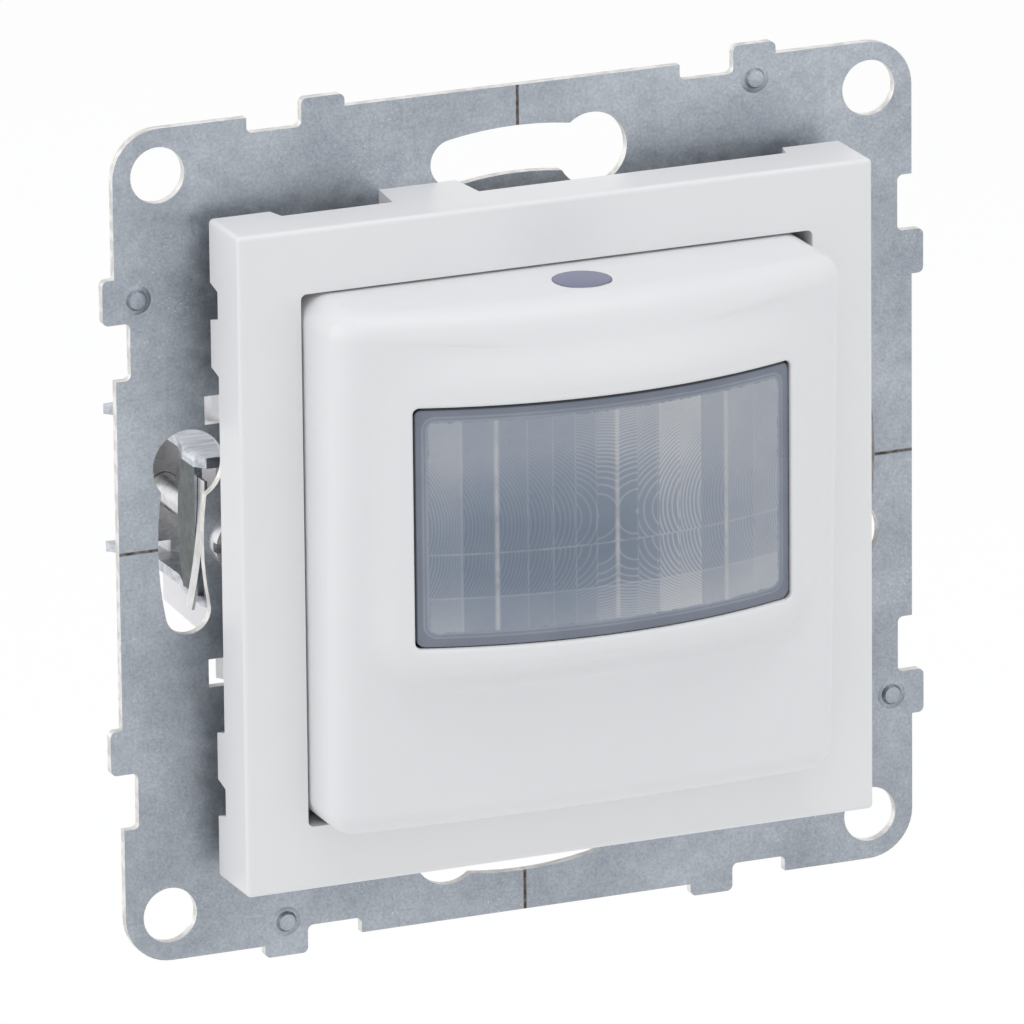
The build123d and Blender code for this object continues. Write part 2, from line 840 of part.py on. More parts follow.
with BuildPart() as housing:
    with BuildSketch(front(0)) as housing_outline:
        Rectangle(housing_width, housing_height)
        chamfer(housing_outline.vertices(), housing_chamfer)
    extrude(amount=-housing_depth)
    fillet(housing.faces().sort_by(Axis.Y)[-1].edges(), housing_edge_r)
    with BuildSketch(front(0)):
        Rectangle(
            housing_width - 2 * housing_flange_inset, head_size + 2 * carrier_overhang
        )
    extrude(amount=-housing_flange_t)
    with BuildSketch(front(0)):
        with GridLocations(2 * joining_screw_x, 2 * joining_screw_z, 2, 2):
            Circle(joining_boss_r)
    extrude(amount=-joining_boss_depth)
    # Ears for the claw pins and guide ribs that keep the nuts from turning.
    for facing in (-1, 1):
        for low in (-ear_outer, ear_outer - ear_t):
            with BuildSketch(level(low)):
                with BuildLine():
                    Polyline(
                        (facing * (housing_half - overrun), ear_front),
                        (facing * ear_out, ear_front),
                        (facing * ear_out, ear_depth),
                        (facing * (housing_half - overrun), ear_depth + ear_out - housing_half),
                        close=True,
                    )
                make_face()
            extrude(amount=ear_t)
        with BuildSketch(level(-nut_guide_half_height)):
            with BuildLine():
                Polyline(
                    (facing * (housing_half - overrun), nut_depth - 2 * nut_guide_margin),
                    (facing * (nut_inner - nut_guide_gap), nut_depth - nut_guide_margin),
                    (facing * (nut_inner - nut_guide_gap), nut_back + nut_guide_margin),
                    (facing * (housing_half - overrun), nut_back + 2 * nut_guide_margin),
                    close=True,
                )
            make_face()
        extrude(amount=2 * nut_guide_half_height)
    with BuildSketch(level(-ear_outer)):
        with GridLocations(2 * claw_pivot, 0, 2, 1):
            with Locations((0, claw_pivot_depth)):
                Circle(claw_pin_r + screw_fit)
    extrude(amount=2 * ear_outer, mode=Mode.SUBTRACT)
    with BuildSketch(front(0)) as housing_inside:
        Rectangle(2 * inner_half, 2 * inner_top)
        chamfer(housing_inside.vertices(), inner_chamfer)
    extrude(amount=-housing_floor, mode=Mode.SUBTRACT)
    # Pillars under the power board.
    with BuildSketch(front(-power_back)):
        with GridLocations(2 * (inner_half - pillar_inset), 2 * pillar_z, 2, 2):
            Circle(pillar_r)
    extrude(amount=-(housing_floor - power_back + housing_wall / 2))
    with BuildSketch(front(-housing_depth - overrun)):
        with Locations((0, block_top - block_height / 2 - overrun / 2)):
            Rectangle(block_width + 2 * block_gap, block_height + overrun + 2 * block_gap)
    extrude(amount=block_depth + overrun + block_gap, mode=Mode.SUBTRACT)
    with BuildSketch(front(overrun)):
        with GridLocations(2 * joining_screw_x, 2 * joining_screw_z, 2, 2):
            Circle(joining_screw_r + joining_clearance)
    extrude(amount=-(joining_boss_depth - joining_clearance + overrun), mode=Mode.SUBTRACT)
publish(housing, "housing")

with BuildPart() as assembly_screws:
    with BuildSketch(front(carrier_front)):
        with GridLocations(2 * joining_screw_x, 2 * joining_screw_z, 2, 2):
            Circle(joining_head_r)
    extrude(amount=joining_head_t)
    with BuildSketch(front(carrier_front)):
        with GridLocations(2 * joining_screw_x, 2 * joining_screw_z, 2, 2):
            Circle(joining_screw_r)
    extrude(amount=-(carrier_front + joining_boss_depth - 2 * joining_clearance))
    with BuildSketch(front(carrier_front + joining_head_t)):
        with GridLocations(2 * joining_screw_x, 2 * joining_screw_z, 2, 2):
            Rectangle(joining_head_r, joining_clearance * 2)
            Rectangle(joining_clearance * 2, joining_head_r)
    extrude(amount=-joining_head_t / 2, mode=Mode.SUBTRACT)
publish(assembly_screws, "assembly_screws")

# Power board, parts

with BuildPart() as power_board:
    with BuildSketch(front(-power_back)) as power_sketch:
        Rectangle(2 * (inner_half - board_gap), 2 * (inner_top - board_gap))
        chamfer(power_sketch.vertices(), inner_chamfer)
        with Locations((0, header_up)):
            with GridLocations(header_pitch, 0, header_pins_count, 1):
                Circle(header_pin_r + header_fit, mode=Mode.SUBTRACT)
    extrude(amount=board_t)
publish(power_board, "power_board")

# Under the board, from the top: the relay, the film capacitor, then the varistor
# and the fuse side by side above the terminals; the round can stands at the right.
under_board = housing_floor - power_back
left_x = parts_aside - inner_half
can_x = inner_half - can_aside - can_r
relay_z = inner_top - part_gap - relay_height / 2
film_z = relay_z - relay_height / 2 - part_gap - film_height / 2
low_z = film_z - film_height / 2 - part_gap - varistor_t / 2
relay_width = can_x - can_r - relay_can_gap - left_x
film_width = can_x - can_r - film_can_gap - left_x
relay_depth = under_board - relay_floor_gap
film_depth = under_board - film_floor_gap
fuse_x = left_x + 2 * varistor_r + part_gap + fuse_width / 2
for name, size, place in (
    ("relay", (relay_width, relay_depth, relay_height), (left_x + relay_width / 2, relay_z)),
    ("film_capacitor", (film_width, film_depth, film_height), (left_x + film_width / 2, film_z)),
    ("fuse", (fuse_width, fuse_depth, fuse_height), (fuse_x, low_z)),
):
    with BuildPart() as block_part:
        with BuildSketch(front(-power_back)):
            with Locations(place):
                RectangleRounded(size[0], size[2], part_edge_r)
        extrude(amount=-size[1])
        chamfer(block_part.faces().sort_by(Axis.Y)[-1].edges(), part_edge_r / 2)
    publish(block_part, name)

can_place = (can_x, film_z)
can_length = under_board - can_floor_gap
with BuildPart() as electrolytic_capacitor:
    with BuildSketch(front(-power_back)):
        with Locations(can_place):
            Circle(can_r)
    extrude(amount=-can_length)
    chamfer(electrolytic_capacitor.faces().sort_by(Axis.Y)[-1].edges(), can_groove)
    with BuildSketch(front(-power_back - 2 * can_groove)):
        with Locations(can_place):
            Circle(can_r)
            Circle(can_r - can_groove, mode=Mode.SUBTRACT)
    extrude(amount=-can_groove, mode=Mode.SUBTRACT)
publish(electrolytic_capacitor, "electrolytic_capacitor")

with BuildPart() as varistor:
    with BuildSketch(level(low_z - varistor_t / 2)):
        with Locations((left_x + varistor_r, power_back + varistor_r)):
            Circle(varistor_r)
    extrude(amount=varistor_t)
publish(varistor, "varistor")

# Terminals

clamp_low = -housing_top + terminal_sunk + terminal_head_t
clamp_middle = clamp_low + clamp_height / 2
wire_z = clamp_low + wire_up
clamp_back = block_front + clamp_gap + clamp_depth
clamp_centre = block_front + clamp_gap + clamp_depth / 2

with BuildPart() as terminal_block:
    with BuildSketch(front(-housing_depth)):
        with Locations((0, block_top - block_height / 2)):
            Rectangle(block_width, block_height)
    extrude(amount=block_depth)
    rear_edges = terminal_block.faces().sort_by(Axis.Y)[-1].edges()
    fillet(rear_edges.sort_by(Axis.Z)[0], housing_edge_r)
    with BuildSketch(front(-block_front)):
        with Locations((0, clamp_middle)):
            with GridLocations(terminal_pitch, 0, terminal_count, 1):
                Rectangle(clamp_width + 2 * clamp_gap, clamp_height + 2 * clamp_gap)
    extrude(amount=-(clamp_depth + 2 * clamp_gap), mode=Mode.SUBTRACT)
    with BuildSketch(front(-housing_depth - overrun)):
        with Locations((0, wire_z)):
            with GridLocations(terminal_pitch, 0, terminal_count, 1):
                Circle(wire_hole_r)
    extrude(amount=housing_depth - clamp_back + overrun, mode=Mode.SUBTRACT)
    with BuildSketch(level(-housing_top - overrun)):
        with Locations((0, clamp_centre)):
            with GridLocations(terminal_pitch, 0, terminal_count, 1):
                Circle(terminal_hole_r)
    extrude(amount=clamp_low + housing_top + overrun, mode=Mode.SUBTRACT)
publish(terminal_block, "terminal_block")

with BuildPart() as terminal_clamps:
    with BuildSketch(front(-clamp_back)):
        with Locations((0, clamp_middle)):
            with GridLocations(terminal_pitch, 0, terminal_count, 1):
                Rectangle(clamp_width, clamp_height)
        with Locations((0, wire_z)):
            with GridLocations(terminal_pitch, 0, terminal_count, 1):
                Circle(wire_r, mode=Mode.SUBTRACT)
    extrude(amount=clamp_depth)
    with BuildSketch(level(clamp_low)):
        with Locations((0, clamp_centre)):
            with GridLocations(terminal_pitch, 0, terminal_count, 1):
                Circle(terminal_screw_r + screw_fit)
    extrude(amount=wire_up - wire_r / 2, mode=Mode.SUBTRACT)
publish(terminal_clamps, "terminal_clamps")

for number, name in enumerate(("live", "switched", "neutral")):
    place = (number - 1) * terminal_pitch
    with BuildPart() as terminal_screw:
        with BuildSketch(level(clamp_low)):
            with Locations((place, clamp_centre)):
                Circle(terminal_head_r)
        extrude(amount=-terminal_head_t)
        with BuildSketch(level(clamp_low)):
            with Locations((place, clamp_centre)):
                Circle(terminal_screw_r)
        extrude(amount=wire_up - wire_r - terminal_sunk)
        with BuildSketch(level(clamp_low - terminal_head_t)):
            with Locations((place, clamp_centre)):
                Rectangle(2 * terminal_head_r, screw_slot_width)
        extrude(amount=screw_slot_depth, mode=Mode.SUBTRACT)
    publish(terminal_screw, f"terminal_screw_{name}")

# Spreading claws

lug_width = claw_neck - nut_lug_gap - claw_inner
lug_middle = claw_inner + lug_width / 2

with BuildPart() as claw_pins:
    for low in (-claw_half_gap - claw_t, ear_outer - ear_t):
        with BuildSketch(level(low)):
            with GridLocations(2 * claw_pivot, 0, 2, 1):
                with Locations((0, claw_pivot_depth)):
                    Circle(claw_pin_r)
        extrude(amount=claw_half_gap + claw_t - ear_outer + ear_t)
publish(claw_pins, "claw_pins")

for name, facing in (("left", -1), ("right", 1)):
    with BuildPart() as claw:
        # Two toothed arms, one above and one below the screw.
        middle_depth = (claw_arm_depth + claw_tip_depth) / 2
        outer_tip = (facing * claw_tip, claw_tip_depth)
        inner_tip = (facing * (claw_tip - claw_tip_width), claw_tip_depth)
        outer_bow = (facing * (claw_waist + claw_tip_out / 2), middle_depth)
        inner_bow = (facing * (claw_neck + claw_tip_width / 3), middle_depth)
        for low in (-claw_half_gap - claw_t, claw_half_gap):
            with BuildSketch(level(low)):
                with BuildLine():
                    Polyline(
                        (facing * claw_neck, claw_arm_depth),
                        (facing * claw_inner, claw_cam_depth),
                        (facing * claw_inner, claw_front),
                        (facing * claw_web_inside, claw_front),
                        (facing * claw_web_outside, claw_web_front),
                        (facing * claw_web_outside, claw_web_depth),
                        (facing * claw_waist, claw_waist_depth),
                        (facing * claw_waist, claw_arm_depth),
                    )
                    ThreePointArc(
                        (facing * claw_waist, claw_arm_depth), outer_bow, outer_tip
                    )
                    Line(outer_tip, inner_tip)
                    ThreePointArc(
                        inner_tip, inner_bow, (facing * claw_neck, claw_arm_depth)
                    )
                make_face()
                with Locations((facing * claw_pivot, claw_pivot_depth)):
                    Circle(claw_pin_r + screw_fit, mode=Mode.SUBTRACT)
            extrude(amount=claw_t)
        # The web that joins them, with a rounded rear edge.
        outside_half = claw_half_gap + claw_t
        with BuildSketch(side(claw_web_inside if facing > 0 else -claw_web_outside)):
            with BuildLine():
                Polyline(
                    (claw_web_depth, outside_half),
                    (claw_web_front, outside_half),
                    (claw_web_front, -outside_half),
                    (claw_web_depth, -outside_half),
                )
                ThreePointArc(
                    (claw_web_depth, -outside_half),
                    (claw_web_depth + claw_web_bulge, 0),
                    (claw_web_depth, outside_half),
                )
            make_face()
        extrude(amount=claw_web_t)
        bends = (
            claw.edges()
            .filter_by(Axis.Y)
            .filter_by(lambda e: abs(abs(e.center().X) - claw_web_outside) < claw_bend_r / 2)
            .filter_by(lambda e: abs(abs(e.center().Z) - outside_half) < claw_bend_r / 2)
        )
        fillet(bends, claw_bend_r)
    publish(claw, f"claw_{name}")

    with BuildPart() as claw_screw:
        with BuildSketch(front(plate_front)):
            with Locations((facing * claw_screw_place, 0)):
                Circle(claw_screw_head_r)
        extrude(amount=claw_screw_head_t)
        with BuildSketch(front(plate_front)):
            with Locations((facing * claw_screw_place, 0)):
                Circle(claw_screw_r)
        extrude(amount=-claw_screw_length)
        tip = claw_screw.faces().sort_by(Axis.Y)[-1].edges()
        chamfer(tip, claw_screw_r / 3)
        with BuildSketch(front(plate_front + claw_screw_head_t)):
            with Locations((facing * claw_screw_place, 0)):
                Rectangle(2 * claw_screw_head_r, screw_slot_width)
                Rectangle(screw_slot_width, claw_screw_head_r)
        extrude(amount=-screw_slot_depth, mode=Mode.SUBTRACT)
    publish(claw_screw, f"claw_screw_{name}")

    with BuildPart() as claw_nut:
        with BuildSketch(front(-nut_back)) as nut_sketch:
            with Locations((facing * claw_screw_place, 0)):
                Rectangle(2 * nut_half_width, 2 * nut_half_height)
            chamfer(nut_sketch.vertices(), nut_edge)
            with Locations((facing * lug_middle, 0)):
                Rectangle(lug_width, 2 * nut_lug_half_height)
            with Locations((facing * claw_inner, 0)):
                Rectangle(
                    2 * (nut_inner - claw_inner),
                    2 * (nut_guide_half_height + nut_guide_gap),
                    mode=Mode.SUBTRACT,
                )
            with Locations((facing * claw_screw_place, 0)):
                Circle(claw_screw_r + screw_fit, mode=Mode.SUBTRACT)
        extrude(amount=nut_t)
    publish(claw_nut, f"claw_nut_{name}")

    # A bowed leaf along the front edge of the web that draws the claw back in: its
    # upper end is fixed and its lower end stands off.
    leaf_on = claw_web_outside - leaf_inset
    leaf_off = leaf_on + leaf_bow
    leaf_middle = (leaf_top - leaf_bottom) / 2
    leaf_bend = leaf_on + leaf_bow / 4
    with BuildPart() as claw_spring:
        with BuildSketch(front(-leaf_front - leaf_width)):
            with BuildLine():
                ThreePointArc(
                    (facing * leaf_on, leaf_top),
                    (facing * leaf_bend, leaf_middle),
                    (facing * leaf_off, -leaf_bottom),
                )
                Line(
                    (facing * leaf_off, -leaf_bottom),
                    (facing * (leaf_off + leaf_t), -leaf_bottom),
                )
                ThreePointArc(
                    (facing * (leaf_off + leaf_t), -leaf_bottom),
                    (facing * (leaf_bend + leaf_t), leaf_middle),
                    (facing * (leaf_on + leaf_t), leaf_top),
                )
                Line((facing * (leaf_on + leaf_t), leaf_top), (facing * leaf_on, leaf_top))
            make_face()
        extrude(amount=leaf_width)
    publish(claw_spring, f"claw_spring_{name}")
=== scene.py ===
import math

import bpy
import numpy as np
from mathutils import Matrix, Vector


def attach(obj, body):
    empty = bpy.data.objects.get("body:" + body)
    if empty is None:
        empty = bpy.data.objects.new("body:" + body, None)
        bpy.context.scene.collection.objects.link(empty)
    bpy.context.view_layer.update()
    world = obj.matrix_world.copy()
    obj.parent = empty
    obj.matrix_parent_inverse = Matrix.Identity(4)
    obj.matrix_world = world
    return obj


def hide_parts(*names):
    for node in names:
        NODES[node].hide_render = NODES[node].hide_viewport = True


# Flush motion sensor light switch. Metres; +Z up, the room is on the -Y side and
# the wall face of the plate lies in Y = 0.

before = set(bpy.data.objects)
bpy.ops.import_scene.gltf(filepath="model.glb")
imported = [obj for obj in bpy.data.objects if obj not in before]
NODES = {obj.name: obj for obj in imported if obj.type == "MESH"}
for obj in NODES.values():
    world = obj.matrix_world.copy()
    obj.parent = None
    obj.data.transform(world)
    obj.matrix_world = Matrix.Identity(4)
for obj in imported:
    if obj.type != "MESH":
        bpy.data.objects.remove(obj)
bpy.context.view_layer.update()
MM = 0.001


# Materials. Lengths among the constants are in millimetres, noise scales per metre.

NOISE_SPREAD = (0.3, 0.7)            # nearly all of a noise lies between these
METAL_GRAIN = 0.004                  # depth of the grain of metal


class Graph:
    """Short calls for building a material's node tree."""

    def __init__(self, name):
        self.material = bpy.data.materials.new(name)
        self.material.use_nodes = True
        self.tree = self.material.node_tree
        self.tree.nodes.clear()
        out = self.tree.nodes.new("ShaderNodeOutputMaterial")
        self.shader = self.tree.nodes.new("ShaderNodeBsdfPrincipled")
        self.tree.links.new(self.shader.outputs["BSDF"], out.inputs["Surface"])
        self.coord = self.tree.nodes.new("ShaderNodeTexCoord").outputs["Object"]

    def set(self, **values):
        """Constants on the shader's own sockets; names use _ for a space."""
        for name, value in values.items():
            self.shader.inputs[name.replace("_", " ")].default_value = value

    def plug(self, socket, name):
        self.tree.links.new(socket, self.shader.inputs[name])

    def feed(self, node, key, value):
        """Link a socket to an input, or set the input to a constant."""
        if isinstance(value, bpy.types.NodeSocket):
            self.tree.links.new(value, node.inputs[key])
        else:
            node.inputs[key].default_value = value

    def math(self, operation, *values):
        node = self.tree.nodes.new("ShaderNodeMath")
        node.operation = operation
        for i, value in enumerate(values):
            self.feed(node, i, value)
        return node.outputs[0]

    def axes(self, vector=None):
        node = self.tree.nodes.new("ShaderNodeSeparateXYZ")
        self.feed(node, 0, vector or self.coord)
        return node.outputs

    def facing(self, axis):
        """How squarely the surface faces along an axis, 0 to 1."""
        geometry = self.tree.nodes.new("ShaderNodeNewGeometry")
        return self.math("ABSOLUTE", self.axes(geometry.outputs["Normal"])[axis])

    def scaled(self, scale):
        node = self.tree.nodes.new("ShaderNodeMapping")
        self.feed(node, "Vector", self.coord)
        node.inputs["Scale"].default_value = scale
        return node.outputs[0]

    def noise(self, scale, detail, roughness=0.5, vector=None):
        node = self.tree.nodes.new("ShaderNodeTexNoise")
        self.feed(node, "Vector", vector or self.coord)
        node.inputs["Scale"].default_value = scale
        node.inputs["Detail"].default_value = detail
        node.inputs["Roughness"].default_value = roughness
        return node.outputs[0]

    def range(self, value, low, high, to_low, to_high):
        node = self.tree.nodes.new("ShaderNodeMapRange")
        node.clamp = True
        for i, item in enumerate((value, low, high, to_low, to_high)):
            self.feed(node, i, item)
        return node.outputs[0]

    def rough(self, noise, low, high):
        """Roughness that wanders with a noise from low to high."""
        self.plug(self.range(noise, *NOISE_SPREAD, low, high), "Roughness")

    def ramp(self, value, stops):
        """Colour ramp through (place, colour) stops."""
        node = self.tree.nodes.new("ShaderNodeValToRGB")
        elements = node.color_ramp.elements
        elements[0].position, elements[0].color = stops[0][0], (*stops[0][1], 1)
        elements[1].position, elements[1].color = stops[-1][0], (*stops[-1][1], 1)
        for place, colour in stops[1:-1]:
            elements.new(place).color = (*colour, 1)
        self.feed(node, 0, value)
        return node.outputs[0]

    def mix(self, factor, a, b):
        """Colour a where the factor is 0, colour b where it is 1."""
        node = self.tree.nodes.new("ShaderNodeMix")
        node.data_type = "RGBA"
        self.feed(node, 0, factor)
        for key, value in ((6, a), (7, b)):
            if isinstance(value, tuple):
                value = (*value, 1)
            self.feed(node, key, value)
        return node.outputs[2]

    def bump(self, height, distance, strength=1.0):
        node = self.tree.nodes.new("ShaderNodeBump")
        node.inputs["Distance"].default_value = distance
        node.inputs["Strength"].default_value = strength
        self.feed(node, "Height", height)
        self.plug(node.outputs[0], "Normal")

    def near(self, value, place, half, soft):
        """1 where value lies within half of place, fading over soft."""
        away = self.math("ABSOLUTE", self.math("SUBTRACT", value, place))
        return self.range(away, half, half + soft, 1.0, 0.0)

    def length(self, a, b):
        squares = self.math("ADD", self.math("MULTIPLY", a, a), self.math("MULTIPLY", b, b))
        return self.math("SQRT", squares)

    def rounded(self, x, z, half_x, half_z, corner):
        """Distance outside a rectangle with rounded corners, negative inside."""
        qx = self.math("SUBTRACT", self.math("ABSOLUTE", x), half_x - corner)
        qz = self.math("SUBTRACT", self.math("ABSOLUTE", z), half_z - corner)
        far = self.length(self.math("MAXIMUM", qx, 0.0), self.math("MAXIMUM", qz, 0.0))
        inner = self.math("MINIMUM", self.math("MAXIMUM", qx, qz), 0.0)
        return self.math("SUBTRACT", self.math("ADD", far, inner), corner)


def shades(colour, vary):
    """The colour a share darker, and the colour a share lighter."""
    low = tuple(c * (1 - vary) for c in colour)
    return low, tuple(min(1.0, c * (1 + vary)) for c in colour)


def moulded(name, colour, rough=0.35, depth=0.006, vary=0.02):
    """Moulded plastic: even colour with faint clouds and a fine-grained skin."""
    g = Graph(name)
    low, high = shades(colour, vary)
    g.plug(g.ramp(g.noise(90.0, 2.0), [(0.35, low), (0.65, high)]), "Base Color")
    g.rough(g.noise(400.0, 3.0), rough - 0.04, rough + 0.05)
    g.bump(g.noise(6000.0, 2.0), depth * MM)
    return g.material


def metal(name, colour, rough):
    """Plain machined or plated metal with a faint grain."""
    g = Graph(name)
    grain = g.noise(1.0, 4.0, 0.6, g.scaled((900.0, 900.0, 900.0)))
    low, high = shades(colour, 0.12)
    g.plug(g.ramp(grain, [(0.3, low), (0.7, high)]), "Base Color")
    g.rough(g.noise(700.0, 3.0), rough - 0.08, rough + 0.08)
    g.bump(grain, METAL_GRAIN * MM)
    g.set(Metallic=1.0)
    return g.material


CLAW_WEB_TOP = 5.45                  # half height of the web between a claw's arms


def claw_sheet():
    """Spring steel of the claws: brushed arms and edges, and a web darkened with painted
    shade.
    """
    g = Graph("claw_steel")
    streak = g.noise(1.0, 4.0, 0.6, g.scaled((300.0, 1500.0, 1500.0)))
    arm = g.ramp(streak, [(0.35, (0.40, 0.43, 0.47)), (0.65, (0.66, 0.69, 0.72))])
    # Painted shade: the web between the arms, where it faces along X, is coloured near black
    # for the shadow it lies in.
    shaded_web = g.ramp(streak, [(0.3, (0.055, 0.066, 0.068)), (0.7, (0.110, 0.126, 0.124))])
    within = g.math("LESS_THAN", g.math("ABSOLUTE", g.axes()[2]), CLAW_WEB_TOP * MM)
    in_web_shade = g.math("MULTIPLY", within, g.range(g.facing(0), 0.5, 0.8, 0.0, 1.0))
    g.plug(g.mix(in_web_shade, arm, shaded_web), "Base Color")
    g.rough(g.noise(700.0, 3.0), 0.24, 0.38)
    g.bump(streak, METAL_GRAIN * MM)
    g.set(Metallic=1.0)
    return g.material


PIP_FOOT = 0.81                      # in front of this depth all is a pip
PIP_PLACE = (33.5, -21.25)           # from the middle of the plate, out and along
PIP_DOME = 1.25                      # radius of the pressed dome
PIP_RELIEF = 60.0                    # height of the dome, in heights of the grain
ZINC_GRAIN = 0.006                   # depth of the grain of the coating
CUT_EDGE = 0.6                       # a surface that faces forwards less is a cut edge
SCRIBE_PLACE = 0.1                   # of a scribed line, off the plate's middle line
SCRIBE_HALF = 0.09                   # half its width
SCRIBE_SOFT = 0.08                   # its soft edge
SCRIBE_START = 30.0                  # where it starts, from the middle of the plate


def zinc_plate():
    """Zinc-coated sheet: soft clouds, a fine grain with bright specks, bright cut
    edges, scribed middle lines and four domed pips."""
    g = Graph("zinc_plate")
    x, y, z = g.axes()
    cloud = g.noise(75.0, 4.0, 0.62)
    grain = g.noise(3600.0, 3.0, 0.75)
    mottle = g.noise(850.0, 4.0, 0.65)
    tone = g.math("MULTIPLY", cloud, 0.40)
    tone = g.math("ADD", tone, g.math("MULTIPLY", mottle, 0.26))
    tone = g.math("ADD", tone, g.math("MULTIPLY", grain, 0.34))
    colour = g.ramp(tone, [
        (0.37, (0.275, 0.304, 0.345)),
        (0.50, (0.385, 0.418, 0.462)),
        (0.63, (0.525, 0.560, 0.602)),
    ])
    # Bright specks in patches, where the coating is rubbed.
    speck = g.range(g.noise(5200.0, 2.0, 0.6), 0.62, 0.70, 0.0, 1.0)
    rubbed = g.range(g.noise(120.0, 3.0, 0.6), 0.50, 0.68, 0.10, 0.75)
    colour = g.mix(g.math("MULTIPLY", speck, rubbed), colour, (0.74, 0.78, 0.82))

    def scribed(across, along, place):
        """A line at this place across, from the slot out to the plate's edge."""
        line = g.near(across, place, SCRIBE_HALF * MM, SCRIBE_SOFT * MM)
        far = g.math("GREATER_THAN", g.math("ABSOLUTE", along), SCRIBE_START * MM)
        return g.math("MULTIPLY", line, far)

    upright = scribed(x, z, SCRIBE_PLACE * MM)
    level = scribed(z, x, -SCRIBE_PLACE * MM)
    wobble = g.range(g.noise(1400.0, 2.0), 0.35, 0.6, 0.55, 1.0)
    line = g.math("MULTIPLY", g.math("MAXIMUM", upright, level), wobble)
    colour = g.mix(line, colour, (0.070, 0.038, 0.014))
    # Each side of the plate has one pip, a quarter turn on from the last. Its dome is
    # 1 - (1 - d)^2, where d falls from 1 at its middle to 0 at its rim.
    pip = g.math("LESS_THAN", y, -PIP_FOOT * MM)
    out, along = PIP_PLACE
    dome = 0.0
    for pip_x, pip_z in ((out, along), (-along, out), (-out, -along), (along, -out)):
        dx = g.math("SUBTRACT", x, pip_x * MM)
        dz = g.math("SUBTRACT", z, pip_z * MM)
        height = g.range(g.length(dx, dz), 0.0, PIP_DOME * MM, 1.0, 0.0)
        dome = g.math("MAXIMUM", dome, height)
    dome = g.math("SUBTRACT", 1.0, g.math("POWER", g.math("SUBTRACT", 1.0, dome), 2.0))
    # Cut edges, but not the sides of the pips, are bare and bright.
    sideways = g.math("LESS_THAN", g.facing(1), CUT_EDGE)
    edge = g.math("MULTIPLY", sideways, g.math("SUBTRACT", 1.0, pip))
    cut = g.ramp(g.noise(900.0, 3.0), [(0.4, (0.62, 0.61, 0.58)), (0.6, (0.80, 0.79, 0.76))])
    g.plug(g.mix(edge, colour, cut), "Base Color")
    g.plug(g.math("SUBTRACT", 0.92, g.math("MULTIPLY", line, 0.8)), "Metallic")
    rough = g.range(mottle, *NOISE_SPREAD, 0.40, 0.56)
    g.plug(g.math("ADD", rough, g.math("MULTIPLY", line, 0.2)), "Roughness")
    relief = g.math("ADD", grain, g.math("MULTIPLY", mottle, 0.8))
    g.bump(g.math("MULTIPLY_ADD", dome, PIP_RELIEF, relief), ZINC_GRAIN * MM)
    return g.material


# Columns of the lens from the left: where each starts, the middle of its ring
# grooves, its tone and how clearly its grooves show.
LENS_COLUMNS = (
    (-15.4, -21.7, 0.36, 0.80),
    (-12.9, -18.0, 0.26, 0.50),
    (-10.1, -14.6, 0.22, 0.50),
    (-7.6, -11.6, 0.24, 0.45),
    (-5.5, -8.7, 0.24, 0.50),
    (-3.6, -5.0, 0.28, 0.60),
    (-1.8, -1.8, 0.34, 0.85),
    (0.0, 1.8, 0.36, 0.95),
    (1.8, 5.0, 0.42, 0.85),
    (3.6, 8.7, 0.58, 1.00),
    (5.5, 11.6, 0.56, 0.95),
    (7.6, 14.6, 0.42, 0.45),
    (10.1, 18.0, 0.50, 0.45),
    (12.9, 21.7, 0.46, 0.60),
)
COLUMN_REACH = 24.0                  # half the width that the columns' ramp covers
LENS_MIDDLE = 4.5                    # height of the lens's middle
LENS_FIELD = (15.4, 8.85, 0.6)       # half width, half height, corner of the field
LENS_ROWS = (2.2, -1.5)              # where the rows of the field meet
ROW_MIDDLES = (4.5, 2.3, 4.5)        # height of the ring middles in each row
# Outside this outline the lens is painted near black, a painted shadow in the gap.
LENS_SEEN = (0.11, 4.39, 16.46, 9.98, 0.45)   # middle, half sizes, corner inside its gap
RING_ZONE = 3.57                     # square millimetres of radius per groove
RING_LINE = (0.045, 0.115)           # a groove's line fades over these distances
RING_LEAST = 0.3                     # least radius for the width of a line
BRIGHT_STARTS = (-10.1, 0.0, 10.1)   # columns that begin with a bright seam
BRIGHT_SEAM = (0.05, 0.24, 0.56)     # half width, soft edge, strength
FAINT_SEAM = (0.02, 0.08, 0.16)
ROW_SEAM = (0.02, 0.09, 0.26)
RIM_STEP = (0.42, 0.03, 0.12)        # out from the field, half width, soft edge
RIM_EDGE = (0.10, 0.06, 0.14)
DULL_SPOT = (-8.0, 2.0)              # the darkest place of the field
GROOVE_DEPTH = 0.012


def lens_column(g, x):
    """Middle of the grooves, tone and clearness of the column at x."""
    ramp = g.tree.nodes.new("ShaderNodeValToRGB")
    ramp.color_ramp.interpolation = "CONSTANT"
    elements = ramp.color_ramp.elements
    for i, (start, middle, tone, clear) in enumerate(LENS_COLUMNS):
        place = 0.5 + start / (2 * COLUMN_REACH)
        item = elements[i] if i < 2 else elements.new(place)
        item.position = place
        item.color = (0.5 + middle / (2 * COLUMN_REACH), tone, clear, 1)
    g.feed(ramp, 0, g.math("ADD", g.math("DIVIDE", x, 2 * COLUMN_REACH), 0.5))
    middle, tone, clear = g.axes(ramp.outputs[0])
    middle = g.math("MULTIPLY", g.math("SUBTRACT", middle, 0.5), 2 * COLUMN_REACH)
    return middle, tone, clear


